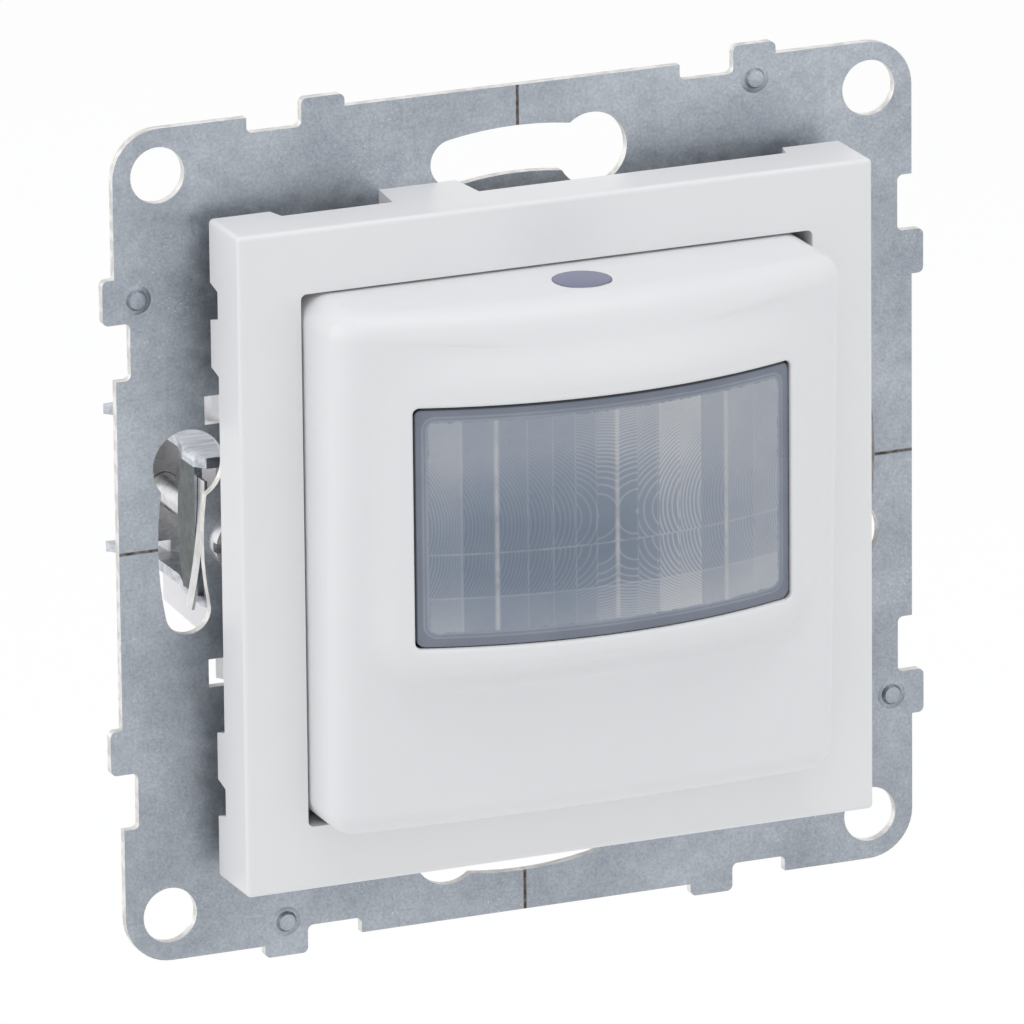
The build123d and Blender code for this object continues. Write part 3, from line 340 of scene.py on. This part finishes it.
def lens_rings(g, dx, dz):
    """Sawtooth over the square of the radius, and a line along its teeth."""
    radius = g.length(dx, dz)
    turns = g.math("DIVIDE", g.math("MULTIPLY", radius, radius), RING_ZONE)
    groove = g.math("FRACT", turns)
    half_on = g.math("FRACT", g.math("ADD", turns, 0.5))
    off = g.math("ABSOLUTE", g.math("SUBTRACT", half_on, 0.5))
    least = g.math("MAXIMUM", radius, RING_LEAST)
    apart = g.math("DIVIDE", g.math("MULTIPLY", off, RING_ZONE / 2), least)
    return groove, g.range(apart, *RING_LINE, 1.0, 0.0)


def lens_seams(g, x, z):
    """Pale, slightly broken lines where columns and rows meet."""
    seams = [
        (x, start, *(BRIGHT_SEAM if start in BRIGHT_STARTS else FAINT_SEAM))
        for start, *_ in LENS_COLUMNS[1:]
    ]
    seams += [(z, row, *ROW_SEAM) for row in LENS_ROWS]
    lines = 0.0
    for across, place, half, soft, strength in seams:
        line = g.math("MULTIPLY", g.near(across, place, half, soft), strength)
        lines = g.math("MAXIMUM", lines, line)
    return g.math("MULTIPLY", lines, g.range(g.noise(700.0, 2.0), 0.3, 0.6, 0.5, 1.0))


def lens_rim(g, x, z, outside):
    """Smooth rim: pale along the field's edge and along a step, and painted shadow in the
    gap.
    """
    step = g.near(outside, *RIM_STEP)
    edge = g.near(outside, *RIM_EDGE)
    level = g.math("MULTIPLY_ADD", step, 0.30, g.math("MULTIPLY", edge, 0.35))
    level = g.math("ADD", level, g.range(g.noise(200.0, 2.0), 0.35, 0.65, 0.30, 0.42))
    colour = g.ramp(level, [
        (0.0, (0.135, 0.152, 0.188)),
        (0.4, (0.205, 0.232, 0.282)),
        (1.0, (0.360, 0.400, 0.460)),
    ])
    seen_x, seen_z, *seen_shape = LENS_SEEN
    # Painted shadow: beyond the seen outline the colour turns near black, for the shade in
    # the gap between lens and window.
    shadow_gap = g.rounded(g.math("SUBTRACT", x, seen_x), g.math("SUBTRACT", z, seen_z), *seen_shape)
    return g.mix(g.range(shadow_gap, -0.05, 0.06, 0.0, 1.0), colour, (0.030, 0.033, 0.040))


def lens_plastic():
    """Milky lens. Grooves are rings about a middle of each column, spaced evenly in
    the square of the radius, each a fine pale line; columns and rows meet in pale
    lines, and the field is framed by a smooth rim with painted shadow round it."""
    g = Graph("lens_plastic")
    x, _, z = (g.math("MULTIPLY", axis, 1 / MM) for axis in g.axes())
    middle, tone, clear = lens_column(g, x)
    second = g.math("LESS_THAN", z, LENS_ROWS[0])
    third = g.math("LESS_THAN", z, LENS_ROWS[1])
    middle_z = g.math("MULTIPLY_ADD", second, ROW_MIDDLES[1] - ROW_MIDDLES[0], ROW_MIDDLES[0])
    middle_z = g.math("MULTIPLY_ADD", third, ROW_MIDDLES[2] - ROW_MIDDLES[1], middle_z)
    dx, dz = g.math("SUBTRACT", x, middle), g.math("SUBTRACT", z, middle_z)
    groove, rings = lens_rings(g, dx, dz)
    rings = g.math("MULTIPLY", rings, clear)
    outside = g.rounded(x, g.math("SUBTRACT", z, LENS_MIDDLE), *LENS_FIELD)
    ragged = g.math("MULTIPLY", g.math("SUBTRACT", g.noise(1500.0, 3.0, 0.7), 0.5), 0.5)
    field = g.range(g.math("ADD", outside, ragged), -0.06, 0.06, 1.0, 0.0)
    # Dull and dark left of the middle, paler towards the corners and in the low row.
    ox, oz = (g.math("SUBTRACT", v, spot) for v, spot in zip((x, z), DULL_SPOT))
    pale = g.range(g.length(g.math("MULTIPLY", ox, 0.33), oz), 2.2, 8.5, -0.18, 0.20)
    pale = g.math("MULTIPLY_ADD", third, 0.07, pale)
    cloud = g.math("MULTIPLY", g.math("SUBTRACT", g.noise(260.0, 3.0, 0.6), 0.5), 0.20)
    level = g.math("ADD", g.math("MULTIPLY_ADD", tone, 0.72, pale), cloud)
    level = g.math("MULTIPLY_ADD", rings, 0.30, level)
    colour = g.ramp(level, [
        (0.0, (0.165, 0.200, 0.258)),
        (0.35, (0.255, 0.293, 0.358)),
        (0.62, (0.365, 0.390, 0.438)),
        (1.0, (0.560, 0.575, 0.592)),
    ])
    colour = g.mix(lens_seams(g, x, z), colour, (0.600, 0.590, 0.575))
    g.plug(g.mix(field, lens_rim(g, x, z, outside), colour), "Base Color")
    relief = g.math("MULTIPLY", g.math("MULTIPLY", groove, clear), field)
    relief = g.math("SUBTRACT", relief, g.math("MULTIPLY", field, 1.5))
    g.bump(relief, GROOVE_DEPTH * MM, 0.7)
    g.rough(g.noise(500.0, 2.0), 0.26, 0.36)
    g.set(Specular_IOR_Level=0.35)
    return g.material


def board(name):
    """Lacquered circuit board with faint slanting tracks under the lacquer."""
    g = Graph(name)
    x, _, z = g.axes()
    track = g.math("PINGPONG", g.math("MULTIPLY", g.math("ADD", x, z), 1 / MM), 1.1)
    weave = g.noise(1800.0, 2.0)
    patch = g.math("GREATER_THAN", g.noise(110.0, 1.0), 0.5)
    tracks = g.math("MULTIPLY", g.math("LESS_THAN", track, 0.25), patch)
    colour = g.mix(tracks, (0.010, 0.075, 0.030), (0.030, 0.16, 0.060))
    colour = g.mix(g.range(weave, 0.4, 0.6, 0.0, 0.25), colour, (0.006, 0.05, 0.02))
    g.plug(colour, "Base Color")
    g.bump(tracks, 0.03 * MM)
    g.rough(weave, 0.25, 0.4)
    g.set(Coat_Weight=0.3)
    return g.material


# Sensor head, in millimetres. Heights are in front of the wall.
HEAD_FOOT = 2.0                      # height of its rear edge
HEAD_HALF = 22.4                     # half its width
HEAD_CORNER = 2.3
HEAD_ROLL = 2.2                      # radius of its rolled front edge
TOP_ROLL = 3.2                       # the same along the middle of the upper edge
WIDE_UP = (12.0, 8.0)                # the wider roll sets in this far up, full after this
WIDE_IN = (20.4, 14.0)               # and this far from the middle, full after this
HEAD_WALL = 1.5
INNER_BEVEL = (1.5, 3.0)             # between front and side wall: inwards, back
INNER_CORNER = 0.5
LEAST_CORNER = 0.02
HEAD_TOP = (20.2, 16.5)              # front surface at the top: crown, sides
HEAD_LOW = (15.6, 14.7)              # the same at the bottom
PANEL_INNER = (17.3, 10.8, 2.0, 4.5)   # half width, half height, corner, middle
PANEL_OUTER = (20.9, 15.9, 6.0, 4.75)
PANEL_BOW = 45.4                     # radius of the panel's bow
BOW_AXIS = -24.0                     # height of the axis of that bow
PANEL_THICK = 1.25
WINDOW_HALF = (16.6, 10.15)
WINDOW_CORNER = 0.55
WINDOW_EDGE = 0.3                    # rounding of the window's edge
QUARTER = 112                        # points of a ring to each quarter
CORNER_SHARE = 0.22                  # of them on the corner
SIDE_STEPS, ROLL_STEPS = 7, 13       # rings up the side and over the rolled edge
FRONT_STEPS, EDGE_STEPS = 66, 5      # across the front and over the window's edge
BACK_STEPS = 26                      # along the inside


def arc_height(x, crown, edge, half):
    """Height of the circular arc through (-half, edge), (0, crown), (half, edge)."""
    rise = crown - edge
    radius = (half * half + rise * rise) / (2 * rise)
    return crown - radius + np.sqrt(radius * radius - x * x)


def rounded_distance(x, z, half_x, half_z, corner):
    """Distance outside a rectangle with rounded corners, negative inside."""
    qx = np.abs(x) - half_x + corner
    qz = np.abs(z) - half_z + corner
    outside = np.hypot(np.maximum(qx, 0), np.maximum(qz, 0))
    return outside + np.minimum(np.maximum(qx, qz), 0) - corner


def head_height(x, z):
    """Front of the head: arcs ruled from the bottom edge to the top edge, and a
    panel with the bow of the lens, which falls away between its inner and outer
    outline in the S of 1 - (6f^5 - 15f^4 + 10f^3)."""
    t = (z + HEAD_HALF) / (2 * HEAD_HALF)
    low = arc_height(x, *HEAD_LOW, HEAD_HALF)
    top = arc_height(x, *HEAD_TOP, HEAD_HALF)
    block = low * (1 - t) + top * t
    panel = BOW_AXIS + np.sqrt(PANEL_BOW**2 - x * x)
    within = rounded_distance(x, z - PANEL_INNER[3], *PANEL_INNER[:3])
    beyond = rounded_distance(x, z - PANEL_OUTER[3], *PANEL_OUTER[:3])
    reach = np.maximum(within, 0)
    f = np.clip(reach / np.maximum(reach - np.minimum(beyond, 0), 1e-6), 0, 1)
    s = 1 - f * f * f * (f * (f * 6 - 15) + 10)
    rise = np.maximum(panel - block, 0)
    return block + rise * s


def soft_step(f):
    """0 below 0, 1 above 1 and the cubic 3f^2 - 2f^3 between."""
    f = np.clip(f, 0, 1)
    return f * f * (3 - 2 * f)


def outline_points(half_x, half_z, corner, middle=0.0):
    """Rounded rectangle as points, from the right going up. Equal steps of a quarter
    fall on like places of every outline."""
    u = (np.arange(QUARTER) + 0.5) / QUARTER
    straight_x, straight_z = half_x - corner, half_z - corner
    first = np.clip(u / (0.5 - CORNER_SHARE / 2), 0, 1)
    turn = np.clip((u - 0.5 + CORNER_SHARE / 2) / CORNER_SHARE, 0, 1) * math.pi / 2
    last = np.clip((u - 0.5 - CORNER_SHARE / 2) / (0.5 - CORNER_SHARE / 2), 0, 1)
    qx = straight_x * (1 - last) + corner * np.cos(turn)
    qz = straight_z * first + corner * np.sin(turn)
    points = np.concatenate([
        np.stack([qx, qz], 1),
        np.stack([-qx[::-1], qz[::-1]], 1),
        np.stack([-qx, -qz], 1),
        np.stack([qx[::-1], -qz[::-1]], 1),
    ])
    points[:, 1] += middle
    return points


def ring_mesh(name, rings):
    """Closed band of quads through rings of points, the last joined to the first."""
    count, across = len(rings), len(rings[0])
    points = np.concatenate(rings) * MM
    i = np.arange(count)[:, None] * across
    j = np.arange(across)[None, :]
    nxt = np.roll(np.arange(count), -1)[:, None] * across
    step = (j + 1) % across
    quads = np.stack([i + j, i + step, nxt + step, nxt + j], -1).reshape(-1, 4)
    mesh = bpy.data.meshes.new(name)
    mesh.vertices.add(len(points))
    mesh.vertices.foreach_set("co", points.astype(np.float32).ravel())
    mesh.loops.add(quads.size)
    mesh.loops.foreach_set("vertex_index", quads.astype(np.int32).ravel())
    mesh.polygons.add(len(quads))
    mesh.polygons.foreach_set("loop_start", np.arange(0, quads.size, 4, dtype=np.int32))
    mesh.polygons.foreach_set("use_smooth", np.ones(len(quads), bool))
    mesh.update(calc_edges=True)
    mesh.validate()
    return mesh


def capped_mesh(name, rings, first, last):
    """Closed surface through rings of points, shut by a fan of triangles at the
    point before the first ring and at the point behind the last."""
    count, across = rings.shape[:2]
    points = np.concatenate([rings.reshape(-1, 3), [first], [last]]) * MM
    i = np.arange(count - 1)[:, None] * across
    j = np.arange(across)[None, :]
    step = (j + 1) % across
    quads = np.stack([i + j, i + step, i + across + step, i + across + j], -1).reshape(-1, 4)
    end = (count - 1) * across
    fans = [(count * across, (k + 1) % across, k) for k in range(across)]
    fans += [(count * across + 1, end + k, end + (k + 1) % across) for k in range(across)]
    mesh = bpy.data.meshes.new(name)
    mesh.from_pydata(points.tolist(), [], quads.tolist() + fans)
    mesh.polygons.foreach_set("use_smooth", np.ones(len(mesh.polygons), bool))
    mesh.validate()
    return mesh


def placed(xz, height):
    """Points at these places across and up, at this height in front of the wall."""
    return np.stack([xz[:, 0], -np.broadcast_to(height, len(xz)), xz[:, 1]], 1)


def fronted(xz, behind=0.0):
    """Points on the head's front, or behind it."""
    return placed(xz, head_height(xz[:, 0], xz[:, 1]) - behind)


def head_shell():
    """Closed shell of the head. Every ring runs round a rounded rectangle: up the
    side, over the rolled edge (a quarter circle), across the front to the window,
    down its rounded edge and wall, and back along the inside."""
    base = outline_points(HEAD_HALF, HEAD_HALF, HEAD_CORNER)
    up = soft_step((base[:, 1] - WIDE_UP[0]) / WIDE_UP[1])
    wide = (up * soft_step((WIDE_IN[0] - np.abs(base[:, 0])) / WIDE_IN[1]))[:, None]

    def rolled(turn, rise=1.0):
        """Ring at this angle of the rolled edge, or below it at a share of the side."""
        parts = []
        for roll in (HEAD_ROLL, TOP_ROLL):
            inset = roll * (1 - math.cos(turn))
            half = HEAD_HALF - inset
            xz = outline_points(half, half, max(HEAD_CORNER - inset, LEAST_CORNER))
            h = head_height(xz[:, 0], xz[:, 1]) - roll * (1 - math.sin(turn))
            parts.append(placed(xz, HEAD_FOOT + rise * (h - HEAD_FOOT)))
        return parts[0] * (1 - wide) + parts[1] * wide

    rings = [rolled(0.0, f) for f in np.linspace(0, 1, SIDE_STEPS)[:-1]]
    rings += [rolled(turn) for turn in np.linspace(0, math.pi / 2, ROLL_STEPS)]
    rim = rings[-1][:, ::2]
    outer = [h + WINDOW_EDGE for h in WINDOW_HALF]
    edge = outline_points(*outer, WINDOW_CORNER + WINDOW_EDGE, LENS_MIDDLE)
    shares = np.linspace(0, 1, FRONT_STEPS)[1:-1]
    rings += [fronted(rim * (1 - f) + edge * f) for f in shares]
    for turn in np.linspace(0, math.pi / 2, EDGE_STEPS):
        out = WINDOW_EDGE * (1 - math.sin(turn))
        halves = [h + out for h in WINDOW_HALF]
        xz = outline_points(*halves, WINDOW_CORNER + out, LENS_MIDDLE)
        rings.append(fronted(xz, WINDOW_EDGE * (1 - math.cos(turn))))
    inside = HEAD_HALF - HEAD_WALL
    wall = outline_points(*WINDOW_HALF, WINDOW_CORNER, LENS_MIDDLE)
    back = outline_points(inside - INNER_BEVEL[0], inside - INNER_BEVEL[0], INNER_CORNER)
    shares = np.linspace(0, 1, BACK_STEPS)
    rings += [fronted(wall * (1 - f) + back * f, PANEL_THICK) for f in shares]
    side = outline_points(inside, inside, HEAD_CORNER - HEAD_WALL)
    rings += [fronted(side, INNER_BEVEL[1]), placed(side, HEAD_FOOT)]
    return ring_mesh("sensor_head_shell", rings)


EYE_RADIUS = 2.45
EYE_HEIGHT = 14.05                   # of its middle in front of the wall
EYE_PROUD = 0.03                     # of its edge over the top of the head
EYE_CROWN = 0.09                     # of its middle over its edge
EYE_DEPTH = 0.4                      # of its underside under the top of the head
EYE_AROUND, EYE_STEPS = 96, 14       # points of a ring, steps of the radius


def eye_cap():
    """Polished end of the light guide. A disc of rings about its middle: its top is
    a parabola over the radius, laid on the top of the head where that is flat and
    sinking with the rolled edge, and its underside is a flat disc."""
    around = np.linspace(0, 2 * math.pi, EYE_AROUND, endpoint=False)
    # Shares of the radius: the rings of the top, then two of the underside.
    share = np.concatenate([np.linspace(0.0, 1.0, EYE_STEPS)[1:], [1.0, 0.5]])[:, None]
    x = EYE_RADIUS * share * np.cos(around)
    height = EYE_HEIGHT + EYE_RADIUS * share * np.sin(around)
    past = np.clip((height - HEAD_TOP[0] + TOP_ROLL) / TOP_ROLL, 0, 1)
    skin = HEAD_HALF - TOP_ROLL * (1 - np.sqrt(1 - past * past))
    z = skin + EYE_PROUD + EYE_CROWN * (1 - share * share)
    z[-2:] = HEAD_HALF - EYE_DEPTH
    rings = np.stack([x, -height, z], -1)
    top = (0.0, -EYE_HEIGHT, HEAD_HALF + EYE_PROUD + EYE_CROWN)
    bottom = (0.0, -EYE_HEIGHT, HEAD_HALF - EYE_DEPTH)
    return capped_mesh("indicator_window", rings, top, bottom)


# Materials of the pieces

white = moulded("white_plastic", (0.86, 0.86, 0.868), 0.32, vary=0.006)
head_white = moulded("head_plastic", (0.84, 0.84, 0.852), 0.36, vary=0.006)
housing_white = moulded("housing_plastic", (0.82, 0.80, 0.82), 0.42)
carrier_white = moulded("carrier_plastic", (0.66, 0.66, 0.66), 0.45)
dark = moulded("dark_plastic", (0.018, 0.018, 0.020), 0.45)
bright_steel = metal("bright_steel", (0.62, 0.62, 0.62), 0.28)
claw_steel = claw_sheet()
brass = metal("brass", (0.72, 0.52, 0.20), 0.30)
pin_metal = metal("pin_metal", (0.66, 0.60, 0.46), 0.30)
can_metal = metal("can_metal", (0.60, 0.58, 0.54), 0.25)
resin_board = board("resin_board")

finish = {
    "mounting_plate": zinc_plate(),
    "bezel": white,
    "sensor_head": head_white,
    "fresnel_lens": lens_plastic(),
    "lens_clamp": dark,
    "light_guide": moulded("guide_plastic", (0.150, 0.160, 0.265), 0.14, vary=0.12),
    "carrier": carrier_white,
    "housing": housing_white,
    "assembly_screws": bright_steel,
    "sensor_board": resin_board,
    "pir_detector": can_metal,
    "pir_window": moulded("filter_window", (0.012, 0.010, 0.014), 0.08, depth=0.001),
    "indicator_led": moulded("led_plastic", (0.75, 0.70, 0.42), 0.2),
    "twilight_sensor": moulded("sensor_plastic", (0.03, 0.03, 0.035), 0.15),
    "control_chip": moulded("chip_plastic", (0.02, 0.02, 0.022), 0.5, depth=0.012),
    "trimmer_bodies": moulded("trimmer_plastic", (0.03, 0.10, 0.34)),
    "time_trimmer": moulded("rotor_plastic", (0.72, 0.70, 0.64), 0.4),
    "board_header": dark,
    "header_pins": pin_metal,
    "power_board": resin_board,
    "relay": moulded("relay_plastic", (0.02, 0.03, 0.05), 0.38),
    "film_capacitor": moulded("film_plastic", (0.62, 0.44, 0.06), 0.32),
    "electrolytic_capacitor": moulded("sleeve_plastic", (0.02, 0.022, 0.07), 0.2),
    "varistor": moulded("varistor_resin", (0.02, 0.08, 0.30), 0.3, depth=0.02),
    "fuse": moulded("fuse_plastic", (0.14, 0.03, 0.02), 0.4),
    "terminal_block": moulded("terminal_plastic", (0.60, 0.60, 0.64), 0.42),
    "terminal_clamps": brass,
    "claw_pins": pin_metal,
}
for other in ("light_trimmer", "range_trimmer"):
    finish[other] = finish["time_trimmer"]
for wire in ("live", "switched", "neutral"):
    finish[f"terminal_screw_{wire}"] = bright_steel
for hand in ("left", "right"):
    finish[f"claw_{hand}"] = claw_steel
    for kind in ("screw", "nut", "spring"):
        finish[f"claw_{kind}_{hand}"] = bright_steel
for name, obj in NODES.items():
    for slot in obj.material_slots:
        slot.material = finish[name]


def add_piece(name, mesh, material, body, slot, *replaced):
    """A piece of the scene that moves with a body and may stand for CAD nodes."""
    piece = bpy.data.objects.new(name, mesh)
    bpy.context.collection.objects.link(piece)
    mesh.materials.append(material)
    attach(piece, body)
    if replaced:
        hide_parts(*replaced)


add_piece(
    "sensor_head_shell", head_shell(), head_white, "head_body", "head_plastic", "sensor_head"
)
add_piece(
    "indicator_window", eye_cap(), finish["light_guide"], "head_body", "guide_plastic"
)


# Stage: soft lights that all face the object, a plain surround and a floor

LIGHTS = (                           # name, size, power, place
    ("softbox_key", (1.2, 1.2), 0.7, (-0.75, -1.0, 0.75)),
    ("softbox_top", (1.2, 1.0), 4.1, (0.05, -0.35, 1.2)),
    ("softbox_left", (1.0, 1.0), 2.9, (-1.2, 0.15, 0.2)),
    ("softbox_right", (1.0, 1.0), 0.9, (1.0, -0.95, 0.1)),
    ("softbox_back", (0.8, 0.8), 1.6, (-0.9, 0.8, 0.25)),
    ("softbox_low", (1.0, 0.2), 0.38, (0.3, -1.1, 0.0)),
)
SURROUND = ((0.97, 0.98, 1.0), 0.675)   # colour and strength that light the object
SHOWN = ((1.0, 1.0, 1.0), 1.0)          # the same as the camera sees them
FLOOR_REACH, FLOOR_LEVEL = 3.0, -0.12
FLOOR_TONES = (0.85, 0.87)
# The floor shows white, but a part of what is seen is its lit surface, which keeps
# the shadow of the object.
GLOW, GLOW_SHARE = 1.1, 0.7

for name, size, power, place in LIGHTS:
    light = bpy.data.lights.new(name, "AREA")
    light.shape = "RECTANGLE"
    light.size, light.size_y = size
    light.energy = power
    softbox = bpy.data.objects.new(name, light)
    bpy.context.collection.objects.link(softbox)
    turned = Vector(place).to_track_quat("Z", "Y").to_matrix().to_4x4()
    softbox.matrix_world = Matrix.Translation(place) @ turned


def seen_rays(tree):
    """1 for camera, glossy and transmission rays, which see a white surround."""
    path = tree.nodes.new("ShaderNodeLightPath")
    total = path.outputs["Is Camera Ray"]
    for name in ("Is Glossy Ray", "Is Transmission Ray"):
        node = tree.nodes.new("ShaderNodeMath")
        node.operation = "MAXIMUM"
        tree.links.new(total, node.inputs[0])
        tree.links.new(path.outputs[name], node.inputs[1])
        total = node.outputs[0]
    return total


world = bpy.data.worlds.new("studio")
bpy.context.scene.world = world
world.use_nodes = True
tree = world.node_tree
tree.nodes.clear()
out = tree.nodes.new("ShaderNodeOutputWorld")
mix = tree.nodes.new("ShaderNodeMixShader")
tree.links.new(seen_rays(tree), mix.inputs[0])
for key, (colour, strength) in ((1, SURROUND), (2, SHOWN)):
    sky = tree.nodes.new("ShaderNodeBackground")
    sky.inputs["Color"].default_value = (*colour, 1)
    sky.inputs["Strength"].default_value = strength
    tree.links.new(sky.outputs[0], mix.inputs[key])
tree.links.new(mix.outputs[0], out.inputs["Surface"])

floor_mesh = bpy.data.meshes.new("floor")
corners = ((-1, -1), (1, -1), (1, 1), (-1, 1))
floor_mesh.from_pydata(
    [(FLOOR_REACH * x, FLOOR_REACH * y, FLOOR_LEVEL) for x, y in corners], [], [(0, 1, 2, 3)]
)
floor = bpy.data.objects.new("floor", floor_mesh)
bpy.context.collection.objects.link(floor)
g = Graph("floor_white")
low, high = FLOOR_TONES
g.plug(g.ramp(g.noise(3.0, 1.0), [(0.4, (low,) * 3), (0.6, (high,) * 3)]), "Base Color")
g.set(Roughness=0.9, Specular_IOR_Level=0.0)
glow = g.tree.nodes.new("ShaderNodeEmission")
glow.inputs["Color"].default_value = (1, 1, 1, 1)
glow.inputs["Strength"].default_value = GLOW
blend = g.tree.nodes.new("ShaderNodeMixShader")
g.feed(blend, 0, g.math("MULTIPLY", seen_rays(g.tree), GLOW_SHARE))
g.tree.links.new(g.shader.outputs[0], blend.inputs[1])
g.tree.links.new(glow.outputs[0], blend.inputs[2])
g.tree.links.new(blend.outputs[0], g.tree.nodes["Material Output"].inputs["Surface"])
floor_mesh.materials.append(g.material)


# Camera: a long lens from the left and above, looking at the plate. No shift.

PICTURE = 1024                       # width of the picture that FOCAL is for, in pixels
FOCAL = 13992.0                      # in pixels
SENSOR = 36.0
FAR_CLIP = 10.0
PITCH, YAW, ROLL = (math.radians(a) for a in (17.12, 22.91, 0.57))
PLATE_FRONT = 0.8                    # front face of the plate before the wall
# The middle of that face as the camera sees it: right, up and near, millimetres.
PLATE_SEEN = np.array((0.66418526, 0.94698678, -1149.6877568))


def rotation(angle, axis):
    """Matrix that turns by an angle about axis 0, 1 or 2."""
    one, other = (axis + 1) % 3, (axis + 2) % 3
    matrix = np.eye(3)
    matrix[one, one] = matrix[other, other] = math.cos(angle)
    matrix[other, one] = math.sin(angle)
    matrix[one, other] = -math.sin(angle)
    return matrix


turn = rotation(ROLL, 2) @ rotation(PITCH, 0) @ rotation(YAW, 1)
upright = np.array(((1, 0, 0), (0, 0, 1), (0, -1, 0)))   # the room's right, up, near
view = np.eye(4)
view[:3, :3] = turn @ upright
view[:3, 3] = (turn @ np.array((0, 0, -PLATE_FRONT)) + PLATE_SEEN) * MM
camera_data = bpy.data.cameras.new("camera")
camera_data.sensor_width = SENSOR
camera_data.lens = FOCAL / PICTURE * SENSOR
camera_data.clip_end = FAR_CLIP
camera = bpy.data.objects.new("camera", camera_data)
bpy.context.collection.objects.link(camera)
camera.matrix_world = Matrix(view.tolist()).inverted()
bpy.context.scene.camera = camera
bpy.context.scene.view_settings.view_transform = "Standard"
